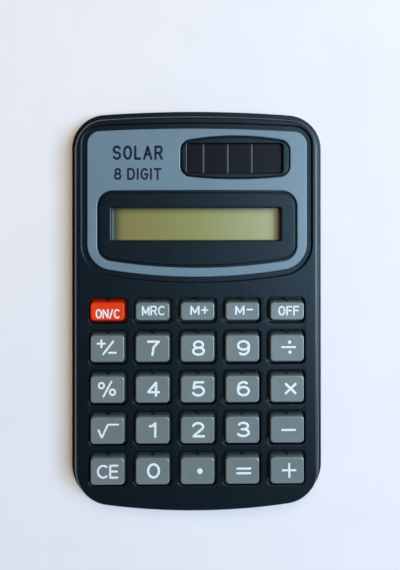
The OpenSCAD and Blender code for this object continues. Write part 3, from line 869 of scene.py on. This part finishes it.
# %% Letters and digits, 2.6 wide and 3.2 high round the origin
W, H = 1.28, 1.55
STROKES = {
    "0": [[(0, 0, W, H, 90, 450)]],
    "1": [[(-1.05, 0.85), (-0.45, 0.95), (0.05, 1.5)], [(0.1, 1.5), (0.1, -H)]],
    "2": [[(-0.02, H - 0.86, 1.12, 0.86, 165, -38), (0.8, 0.1), (-1.1, -H), (W, -H)]],
    "3": [[(-0.05, 0.8, 1.05, 0.75, 150, -90), (-0.05, 0.05), (-0.35, 0.05)],
          [(-0.35, 0.05), (-0.05, 0.05), (-0.05, -0.74, 1.22, 0.8, 90, -158)]],
    "4": [[(0.62, -H), (0.62, H), (-1.25, -0.72), (W, -0.72)]],
    "5": [[(1.02, H), (-0.82, H), (-1.05, 0.02), (-0.02, -0.52, 1.22, 1.03, 145, -155)]],
    "6": [[(0.02, 0.32, 1.2, 1.25, 50, 180), (-1.2, 0.3), (-1.22, -0.55)],
          [(0.02, -0.58, 1.22, 0.98, 0, 360)]],
    "7": [[(-1.2, H), (1.2, H), (0.05, 0.25), (-0.25, -H)]],
    "8": [[(0, 0.8, 1.02, 0.76, 0, 360)], [(0, -0.74, 1.22, 0.82, 0, 360)]],
    "9": [[(-0.02, 0.58, 1.22, 0.98, 0, 360)],
          [(1.2, 0.55), (1.18, -0.3), (-0.02, -0.32, 1.2, 1.25, 0, -130)]],
    "C": [[(0.12, 0, 1.15, H, 50, 310)]],
    "E": [[(1, H), (-0.95, H), (-0.95, -H), (1, -H)], [(-0.95, 0.05), (0.85, 0.05)]],
    "M": [[(-1.15, -H), (-1.15, H), (0, -1.1), (1.15, H), (1.15, -H)]],
    "R": [[(-1, -H), (-1, H)],
          [(-1, H), (0.2, H), (0.2, H - 0.8, 0.85, 0.8, 90, -90), (0.2, -0.05), (-1, -0.05)],
          [(0.15, -0.05), (1.05, -H)]],
    "O": [[(0, 0, 1.2, H, 90, 450)]],
    "N": [[(-1.05, -H), (-1.05, H), (1.05, -H), (1.05, H)]],
    "F": [[(1, H), (-0.9, H), (-0.9, -H)], [(-0.9, 0.05), (0.8, 0.05)]],
    "/": [[(-0.75, -H), (0.75, H)]],
    "S": [[(0, 0.78, 1.05, 0.77, 25, 270), (0, -0.77, 1.1, 0.78, 90, -155)]],
    "L": [[(-0.9, H), (-0.9, -H), (1.05, -H)]],
    "A": [[(-1.2, -H), (0, H), (1.2, -H)], [(-0.75, -0.45), (0.75, -0.45)]],
    "D": [[(-1.05, -H), (-1.05, H)],
          [(-1.05, H), (0, H), (0, 0, 1.1, H, 90, -90), (0, -H), (-1.05, -H)]],
    "I": [[(0, -H), (0, H)]],
    "G": [[(0.1, 0, 1.15, H, 50, 330), (1.1, -0.75), (1.1, -0.1), (0.2, -0.1)]],
    "T": [[(-1.15, H), (1.15, H)], [(0, H), (0, -H)]],
    "+": [[(-1, 0), (1, 0)], [(0, -1), (0, 1)]],
    "-": [[(-1, 0), (1, 0)]],
    "o": [[(0, 0, 1, 1, 0, 360)]],
}
GLYPHS = {key: [stroke(*parts) for parts in strokes] for key, strokes in STROKES.items()}
print("glyphs", len(GLYPHS))


# %% Legends
def word(text, widths, height, x, y, gap, pen):
    """Letters in a row centred on (x, y), each with its own width of ink; a space has none."""
    left, strokes = x - (sum(widths) + gap * (len(text) - 1)) / 2, []
    for letter, w in zip(text, widths):
        paths = GLYPHS.get(letter, [])
        if paths:
            ink = np.vstack(paths)
            low, high = ink.min(0), ink.max(0)
            size = np.maximum(high - low, 1e-6)
            wide = (w - pen) / size[0] if size[0] > 0.01 else 1.0
            scale, middle = np.array([wide, (height - pen) / size[1]]), np.array([left + w / 2, y])
            strokes += [((p - (low + high) / 2) * scale + middle, pen) for p in paths]
        left += w + gap
    return strokes


def mark(glyph, x, y, sx, sy, pen):
    """A glyph's paths scaled by (sx, sy) round (x, y)."""
    return [(p * [sx, sy] + [x, y], pen) for p in GLYPHS[glyph]]


def dot(x, y, r):
    """A round dot, as a very short stroke."""
    return [(np.array([[x - 0.002, y], [x + 0.002, y]]), 2 * r)]


def draw(pen, *points):
    """One stroke through points."""
    return [(line(*points), pen)]


PEN, FINE = 0.57, 0.48
MEMORY = word("M", [2.25], 2.35, -0.65, 0.3, 0, 0.4)
LEGENDS = {str(d): word(str(d), [3.15], 3.72, 0.22, 0.1, 0, PEN) for d in range(10) if d != 1}
LEGENDS["1"] = word("1", [1.85], 3.72, 0.0, 0.1, 0, PEN)
LEGENDS.update({
    "on_clear": word("ON/C", [1.5, 1.45, 0.95, 1.4], 2.3, 0.05, -0.52, 0.15, 0.36),
    "memory_recall": word("MRC", [1.85, 1.6, 1.6], 2.35, 0.15, 0.2, 0.2, 0.37),
    "memory_add": MEMORY + mark("+", 1.72, 0.3, 0.7, 0.7, 0.4),
    "memory_subtract": MEMORY + mark("-", 1.75, 0.38, 0.62, 1, 0.4),
    "off": word("OFF", [1.75, 1.5, 1.5], 2.35, 0.35, 0.1, 0.18, 0.4),
    "change_sign": mark("+", -1.45, 1.25, 0.85, 0.85, FINE)
    + draw(FINE, (-1.02, -1.3), (1.4, 1.8)) + draw(FINE, (0.4, -0.95), (2, -0.95)),
    "percent": mark("o", -1.42, 1, 0.62, 0.66, FINE) + mark("o", 1.22, -0.6, 0.62, 0.66, FINE)
    + draw(FINE, (-0.95, -1.6), (0.95, 1.95)),
    "square_root": draw(0.46, (-2.12, 0.1), (-1.35, -1.7), (0.1, 1.45), (2.55, 1.45)),
    "clear_entry": word("CE", [2.55, 2.2], 3.35, 0.05, 0, 0.38, 0.5),
    "divide": draw(0.5, (-1.25, 0.22), (1.85, 0.22)) + dot(0.52, 1.42, 0.42)
    + dot(0.62, -0.98, 0.42),
    "multiply": draw(0.6, (-0.35, -1.05), (1.95, 1.15)) + draw(0.6, (-0.35, 1.15), (1.95, -1.05)),
    "subtract": draw(0.5, (-1.25, -0.1), (1.85, -0.1)),
    "add": draw(0.5, (-1.15, 0), (1.95, 0)) + draw(0.5, (0.45, -1.6), (0.45, 1.55)),
    "equals": draw(0.52, (-1.25, 0.5), (1.85, 0.5)) + draw(0.52, (-1.25, -0.62), (1.85, -0.62)),
    "point": dot(0.55, -0.05, 0.68),
})
print("legends", len(LEGENDS))

# %% [markdown]
# ## Ribbons of ink
#
# The ribbon's section is a flat rectangle with the top corners eased: at each station the
# half-width is h, or the square root of h squared less the square of the distance still
# missing to a full round end. A path that closes on itself has no ends.


# %% Ribbons
INK_T, INK_SINK = 0.022, 0.012
INK_SECTION = (
    (1, -INK_SINK), (1, INK_T * 0.5), (0.94, INK_T), (-0.94, INK_T), (-1, INK_T * 0.5),
    (-1, -INK_SINK),
)


def ribbon(skin, path, pen, height_at, offset):
    """A closed ribbon of width pen along path, lying on the surface height_at(points)."""
    h = pen / 2
    loop = np.hypot(*(path[0] - path[-1])) < 1e-3
    if loop:
        path = path[:-1]
        width = np.full(len(path), h)
        direction = np.roll(path, -1, 0) - np.roll(path, 1, 0)
    else:
        cap = np.radians(np.linspace(0, 90, 7))[:-1]
        first, last = path[1] - path[0], path[-1] - path[-2]
        first, last = first / np.hypot(*first), last / np.hypot(*last)
        head = path[0] - first * (h * np.cos(cap))[:, None]
        tail = path[-1] + last * (h * np.cos(cap[::-1]))[:, None]
        width = np.r_[h * np.sin(cap), np.full(len(path), h), h * np.sin(cap[::-1])]
        path = np.vstack([head, path, tail])
        direction = np.gradient(path, axis=0)
    direction /= np.maximum(np.hypot(*direction.T), 1e-9)[:, None]
    side = np.column_stack([-direction[:, 1], direction[:, 0]])
    sections = []
    for across, rise in INK_SECTION:
        xy = path + side * (width * across)[:, None]
        sections.append(np.column_stack([xy + offset, height_at(xy) + rise]))
    grid = np.stack(sections, 1)
    if not loop:
        tips = [np.repeat(end.mean(1, keepdims=True), len(INK_SECTION), 1)
                for end in (grid[:1], grid[-1:])]
        grid = np.concatenate([tips[0], grid, tips[1]])
    skin.strip(grid[:, ::-1], closed=loop)


def printed_ink(name, dark, light, roughness, specular):
    """Pad-printed ink: a slightly uneven tone and a very fine relief."""
    finish = Finish(name)
    finish.surface({
        "Base Color": finish.drift(finish.noise(2500, 3), dark, light),
        "Roughness": roughness,
        "Specular IOR Level": specular,
    })
    finish.bump(finish.noise(9000, 2), 4e-6)
    return finish.material


LAYER = 0.002  # each stroke lies this much above the one before it, where they cross
white_ink = printed_ink("legend_white_ink", (0.72, 0.82, 0.83), (0.8, 0.89, 0.9), 0.42, 0.5)
for name in KEYS:
    centre, w, l, z0, z1 = key_place(name)
    legend = Skin()
    for k, (path, pen) in enumerate(LEGENDS[name]):
        ribbon(legend, path, pen, lambda p: key_top_z(w, l, z1, p) + LAYER * k, centre)
    make_piece(legend, f"legend_{name}", white_ink, f"key_{name}", sharp=50)

# %% [markdown]
# ## Two plain words on the plate
#
# The plate says what powers the calculator and how many places it shows, printed in navy ink
# with the same pen. The plate is flat, so these ribbons lie at one height.

# %% Words on the plate
WORDS_X, LETTER_GAP = -14.4, 0.42
PLATE_WORDS = (
    ("SOLAR", [2.1, 2.25, 1.75, 2.3, 2.1], 3.5, 38.9, 0.6),
    ("8 DIGIT", [1.85, 0.5, 1.95, 0.42, 1.95, 0.42, 1.95], 2.9, 33.75, 0.5),
)
navy_ink = printed_ink("plate_navy_ink", (0.004, 0.01, 0.022), (0.007, 0.014, 0.03), 0.4, 0.2)
words = Skin()
for text, widths, height, y, pen in PLATE_WORDS:
    for k, (path, _) in enumerate(word(text, widths, height, WORDS_X, y, LETTER_GAP, pen)):
        ribbon(words, path, pen, lambda p: np.full(len(p), top_z) + LAYER / 2 * k, np.zeros(2))
make_piece(words, "plate_words", navy_ink, "body", sharp=50)

# %% [markdown]
# ## The display and the solar cell
#
# Behind the window lies the olive polariser film over silver-grey glass. Its colour carries painted
# light: it grows lighter along the display because light comes from the right, a painted shadow
# darkens it under the window's upper wall, a narrow pale strip at its left end is a painted
# highlight of the window's lit left wall, a dark painted shade lies just right of that strip, and
# towards its right end it turns darker and browner. Beyond its right end the seal of the glass
# shows brown, darkened towards the right wall by a painted shadow. The solar cell is a nearly black
# sheet with three lighter dividing lines. These are flat CAD pieces that keep their shape, so the
# detail is in their materials, drawn on Object coordinates.


# %% Display and solar materials
def put_on(node_name, material):
    """Replaces every material slot of a carried-over CAD node."""
    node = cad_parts[node_name]
    node.data.materials.clear()
    node.data.materials.append(material)


FILM_X, SHADE_Y, SEAL_X = (-0.0208, 0.0204), (0.0237, 0.0256), (0.0189, 0.0204)
film = Finish("display_olive_film")
# Painted light along X: a pale painted highlight of the lit left wall at the left end, a dark
# painted shade beside it, lighter towards the right where the light comes from, and darker and
# browner at the right end.
tone = film.ramp(
    film.span(film.along("X"), *FILM_X),
    (0.0, (0.12, 0.16, 0.165)), (0.008, (0.12, 0.16, 0.165)),
    (0.013, (0.04, 0.052, 0.032)), (0.034, (0.13, 0.125, 0.05)),
    (0.06, (0.225, 0.2, 0.062)), (0.5, (0.268, 0.282, 0.088)),
    (0.925, (0.35, 0.37, 0.16)), (0.963, (0.285, 0.265, 0.09)),
)
# Painted shadow of the window's upper wall, darkest at the top.
shade = film.ramp(
    film.span(film.along("Y"), *SHADE_Y), (0.0, grey(1.0)), (0.6, grey(0.72)), (1.0, grey(0.28))
)
film.surface({"Base Color": film.multiply(tone, shade), "Roughness": 0.3})
film.bump(film.noise(5000, 2), 2e-6)
put_on("lcd_front_polariser", film.material)

seal = Finish("display_glass_edge_seal")
brown = seal.drift(seal.noise(900, 3), (0.235, 0.195, 0.066), (0.265, 0.222, 0.078))
# Painted shadow of the window's right wall, darker towards the right.
shade = seal.ramp(seal.span(seal.along("X"), *SEAL_X), (0.0, grey(1.0)), (1.0, grey(0.3)))
seal.surface({"Base Color": seal.multiply(brown, shade), "Roughness": 0.18})
seal.bump(seal.noise(4000, 2), 2e-6)
put_on("lcd_front_glass", seal.material)

LINES_X, LINE_HALF = (0.00155, 0.0075, 0.0134), 0.00018
cell = Finish("solar_amorphous_cell")
x = cell.along("X")
lines = 0.0
for at in LINES_X:
    distance = cell.compute("ABSOLUTE", cell.compute("SUBTRACT", x, at), 0.0)
    lines = cell.compute("MAXIMUM", lines, cell.compute("LESS_THAN", distance, LINE_HALF))
cell.surface({
    "Base Color": cell.ramp(lines, (0.0, (0.006, 0.007, 0.01)), (1.0, (0.095, 0.11, 0.122))),
    "Roughness": 0.35,
    "Specular IOR Level": 0.1,
})
cell.bump(cell.noise(3000, 2), 1e-6)
put_on("solar_cell", cell.material)
print("window materials", film.material.name, seal.material.name, cell.material.name)

# %% [markdown]
# ## The pieces inside
#
# The board, the button cell, the screws and the rest stay as the CAD made them. All but the
# screws are hidden in a closed calculator, and each still gets the finish of its real
# material: resins, films and rubbers are made as the plastics are, and metals get fine streaks
# along X, as rolling and turning leave them.


# %% Inner finishes
INSIDE = (
    ("bezel_adhesive", "adhesive_film", (0.5, 0.46, 0.3), (0.6, 0.55, 0.38), 3000, 4e-6,
     (0.5, 0.7)),
    ("lcd_rear_glass", "display_rear_glass", (0.42, 0.45, 0.34), (0.48, 0.51, 0.4), 800, 1e-6,
     (0.08, 0.14)),
    ("lcd_reflector", "display_reflector", (0.34, 0.35, 0.18), (0.42, 0.43, 0.24), 8000, 3e-6,
     (0.3, 0.5)),
    ("lcd_zebra_strip", "elastomer_strip", (0.45, 0.43, 0.4), (0.6, 0.57, 0.54), 6000, 6e-6,
     (0.6, 0.8)),
    ("lcd_support_foam", "grey_foam", (0.018, 0.02, 0.022), (0.04, 0.043, 0.046), 2500, 9e-5,
     (0.8, 0.95)),
    ("solar_lead_red", "lead_red_sleeve", (0.35, 0.01, 0.008), (0.42, 0.016, 0.012), 3000, 4e-6,
     (0.35, 0.5)),
    ("solar_lead_black", "lead_black_sleeve", grey(0.008), grey(0.014), 3000, 4e-6, (0.35, 0.5)),
    ("circuit_board", "board_green_mask", (0.012, 0.085, 0.03), (0.02, 0.12, 0.045), 1800, 6e-6,
     (0.25, 0.4)),
    ("key_contacts", "carbon_print", (0.01, 0.01, 0.011), (0.018, 0.018, 0.019), 5000, 6e-6,
     (0.6, 0.8)),
    ("controller_chip", "black_resin", (0.004, 0.004, 0.005), (0.008, 0.008, 0.009), 1200, 1e-5,
     (0.12, 0.25)),
    ("reservoir_capacitor", "capacitor_tan", (0.33, 0.18, 0.06), (0.42, 0.24, 0.09), 3000, 4e-6,
     (0.3, 0.45)),
    ("clamp_diode", "diode_black", (0.006, 0.006, 0.007), (0.012, 0.012, 0.013), 3000, 4e-6,
     (0.3, 0.45)),
)
METALS = (
    ("button_cell", "cell_steel", (0.55, 0.55, 0.56), (0.68, 0.68, 0.69), 4000, (0.22, 0.34)),
    ("cell_contact_negative", "contact_brass", (0.55, 0.38, 0.13), (0.66, 0.47, 0.18), 4000,
     (0.25, 0.38)),
    ("cell_contact_positive", "contact_steel", (0.5, 0.5, 0.51), (0.62, 0.62, 0.63), 4000,
     (0.25, 0.38)),
    ("case_screws", "screw_zinc", (0.32, 0.33, 0.35), (0.44, 0.45, 0.47), 5000, (0.28, 0.42)),
    ("board_screws", "board_screw_zinc", (0.4, 0.4, 0.41), (0.52, 0.52, 0.53), 5000, (0.28, 0.42)),
)
STREAK = (0.05, 1.0, 1.0)  # stretches the noise twenty times along X


def metal(name, colour, lighter, grain, rough):
    """Rolled or turned metal: fine streaks along X in tone, gloss and relief."""
    finish = Finish(name)
    streaks = finish.noise(grain, 3.0, 0.6, stretch=STREAK)
    finish.surface({
        "Base Color": finish.drift(streaks, colour, lighter),
        "Roughness": finish.drift(streaks, grey(rough[0]), grey(rough[1])),
        "Metallic": 1.0,
    })
    finish.bump(streaks, 3e-6)
    return finish.material


for node_name, *recipe in INSIDE:
    put_on(node_name, moulded(*recipe))
for node_name, *recipe in METALS:
    put_on(node_name, metal(*recipe))
print("inner finishes", len(INSIDE) + len(METALS))

# %% [markdown]
# ## The table
#
# The calculator lies on its back on a pale surface with almost no gloss. A flat sheet, three
# metres wide, reaches past every view, and a slow noise varies its tone.

# %% Floor
FLOOR_HALF = 1500
ground = Skin()
ground.patch([FLOOR_HALF * np.array([[-1, -1], [1, -1], [1, 1], [-1, 1]])], 0)
floor_mesh = ground.mesh("floor")
floor = bpy.data.objects.new("floor", floor_mesh)
bpy.context.collection.objects.link(floor)
table = Finish("pale_table")
table.surface({
    "Base Color": table.drift(table.noise(60, 4), (0.84, 0.845, 0.86), (0.87, 0.875, 0.89)),
    "Roughness": 0.7,
    "Specular IOR Level": 0.1,
})
floor_mesh.materials.append(table.material)
print("floor", len(floor_mesh.polygons), "faces")

# %% [markdown]
# ## Light
#
# A cool window at the right makes the satin faces brighter towards that side and throws a soft
# shadow to the left, and a weaker warm lamp stands above the display. The warm lamp isn't seen
# in reflections, where it would turn the dark case grey. A low window at the right is seen
# only in reflections, where it draws the bright line on the edges that face it.


# %% Lights
def soft_light(name, at, size, power, colour):
    """A square area light at a point, turned to face the origin."""
    data = bpy.data.lights.new(name, "AREA")
    data.size, data.energy, data.color = size, power, colour
    lamp = bpy.data.objects.new(name, data)
    lamp.location = at
    lamp.rotation_euler = (-Vector(at)).to_track_quat("-Z", "Y").to_euler()
    bpy.context.collection.objects.link(lamp)
    return lamp


soft_light("window_right", (0.36, 0.04, 0.64), 0.4, 5.6, (0.55, 0.735, 0.985))
warm = soft_light("lamp_above_the_display", (-0.03, 0.3, 0.62), 0.3, 2.0, (1.0, 0.7, 0.36))
warm.visible_glossy = False
low = soft_light("low_window_right", (0.57, 0.05, 0.21), 0.4, 12.0, (0.62, 0.85, 1.0))
low.visible_diffuse = False
world = bpy.data.worlds.new("room")
world.use_nodes = True
background = world.node_tree.nodes["Background"]
background.inputs["Color"].default_value = (0.8, 0.9, 1.0, 1.0)
background.inputs["Strength"].default_value = 0.13
bpy.context.scene.world = world
bpy.context.scene.view_settings.view_transform = "Standard"
print("lights", len(bpy.data.lights))

# %% [markdown]
# ## Camera
#
# The camera is about fourteen centimetres above the keys and looks almost straight down. It
# stands over the display, so the keys show a little of their upper walls. A small shift of the
# lens frames the object without turning the camera, which would make its sides converge.

# %% Camera
LONG_SIDE = 570.0  # the frame is 400 wide and 570 high, and the lens is given on that scale
FOCAL, SHIFT_X, SHIFT_Y, SENSOR = 577.1, 8.0, -69.7, 36.0
camera_data = bpy.data.cameras.new("camera")
camera_data.sensor_width = SENSOR
camera_data.lens = FOCAL * SENSOR / LONG_SIDE
camera_data.shift_x = SHIFT_X / LONG_SIDE
camera_data.shift_y = SHIFT_Y / LONG_SIDE
camera_data.clip_start = 0.005
camera = bpy.data.objects.new("camera", camera_data)
camera.location = (-0.00362, 0.02346, 0.1488)
camera.rotation_euler = [math.radians(a) for a in (0.11, -0.953, -0.022)]
bpy.context.collection.objects.link(camera)
bpy.context.scene.camera = camera
print("lens", camera_data.lens, "mm, shift", camera_data.shift_x, camera_data.shift_y)

# %% [markdown]
# The finished pieces must stay inside the CAD's box.
